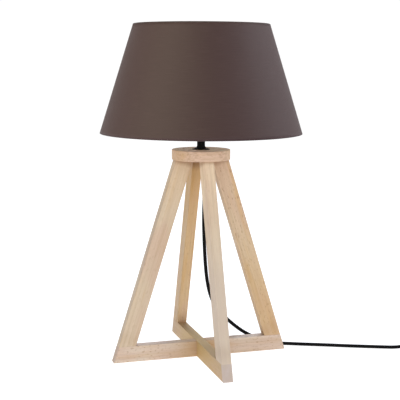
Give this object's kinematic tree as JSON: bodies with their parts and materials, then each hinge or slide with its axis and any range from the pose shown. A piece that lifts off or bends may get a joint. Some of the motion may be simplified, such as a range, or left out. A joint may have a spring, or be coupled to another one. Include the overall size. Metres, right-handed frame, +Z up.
{
  "type": "table lamp",
  "caption": "Table lamp: tapered fabric shade on a wooden pyramid of slanted legs over crossed rails, with a mains cord, inline rocker switch and plug.",
  "frame": {"origin": "on the floor, under the centre of the base and of the shade", "axes": "+Z up along the stem; one rail of the base lies along X, the other along Y; the cord leaves past the foot at +X"},
  "size_m": [0.641, 0.3, 0.5],
  "materials": {
    "beech": "pale natural beech, matt lacquer",
    "zinc_steel": "zinc plated",
    "holder_black": "black thermoplastic, fine satin",
    "core_white": "unglazed",
    "brass": "stamped sheet",
    "fibre": "red brown fibre",
    "bulb_shell": "rolled, nickel plated",
    "bulb_insulator": "black",
    "bulb_white": "white",
    "bulb_glass": "opal",
    "aluminium": "board with a white face",
    "shade_cotton": "taupe cotton, plain weave with fine slubs",
    "shade_liner": "translucent off white film",
    "white_wire": "white powder coat",
    "cord_black": "black flex, satin",
    "moulded_black": "black, fine moulded grain",
    "rocker_black": "black, smooth",
    "nickel": "nickel plated"
  },
  "bodies": {
    "lamp": {"rail_x": "beech", "rail_y": "beech", "leg_right": "beech", "leg_back": "beech", "leg_left": "beech", "leg_front": "beech", "top_disc": "beech", "foot_dowels": "beech", "top_dowels": "beech", "foot_screws": "zinc_steel", "lap_screw": "zinc_steel", "stem_tube": "zinc_steel", "stem_washer": "zinc_steel", "stem_nut": "zinc_steel", "terminal_screws": "zinc_steel", "switch_screws": "zinc_steel", "neck_collar": "holder_black", "holder_cap": "holder_black", "holder_skirt": "holder_black", "cord_bush": "holder_black", "holder_core": "core_white", "centre_contact": "brass", "side_contact": "brass", "switch_contacts": "brass", "cord_drop": "cord_black", "cord_coil": "cord_black", "cord_tail": "cord_black", "cord_inner": "cord_black", "cord_ends": "cord_black", "switch_base": "moulded_black", "switch_cover": "moulded_black", "plug_body": "moulded_black", "plug_sleeve": "moulded_black", "plug_pin_sleeves": "moulded_black", "plug_pins": "nickel"},
    "shade": {"shade_fabric": "shade_cotton", "shade_liner": "shade_liner", "upper_hem": "shade_cotton", "lower_hem": "shade_cotton", "upper_rim_wire": "white_wire", "lower_rim_wire": "white_wire", "spider": "white_wire"},
    "slip_washer": {"slip_washer": "fibre"},
    "clamp_ring": {"clamp_ring": "holder_black"},
    "bulb_button": {"bulb_button": "bulb_shell"},
    "bulb": {"bulb_cap": "bulb_shell", "bulb_insulator": "bulb_insulator", "bulb_housing": "bulb_white", "bulb_globe": "bulb_glass", "bulb_board": "aluminium"},
    "rocker": {"switch_rocker": "rocker_black"}
  },
  "joints": [
    {"name": "rocker_tilt", "type": "hinge", "parent": "lamp", "child": "rocker", "pos_m": [0.3767, -0.07081, 0.0135], "axis": [-0.1392, -0.9903, 0], "range_deg": [0, 20]},
    {"name": "shade_turn", "type": "hinge", "parent": "lamp", "child": "shade", "pos_m": [0, 0, 0.3655], "axis": [0, 0, 1], "continuous": true},
    {"name": "clamp_lift", "type": "slide", "parent": "lamp", "child": "slip_washer", "axis": [0, 0, 1], "range_m": [0, 0.01]},
    {"name": "clamp_unscrew", "type": "hinge", "parent": "slip_washer", "child": "clamp_ring", "pos_m": [0, 0, 0.3673], "axis": [0, 0, 1], "range_deg": [0, 1440]},
    {"name": "bulb_lift", "type": "slide", "parent": "lamp", "child": "bulb_button", "axis": [0, 0, 1], "range_m": [0, 0.01453]},
    {"name": "bulb_unscrew", "type": "hinge", "parent": "bulb_button", "child": "bulb", "pos_m": [0, 0, 0.37], "axis": [0, 0, 1], "range_deg": [0, 1440]}
  ],
  "couplings": [
    {"joint": "clamp_lift", "follows": "clamp_unscrew", "m_per_rad": 0.00039788},
    {"joint": "bulb_lift", "follows": "bulb_unscrew", "m_per_rad": 0.00057773}
  ]
}
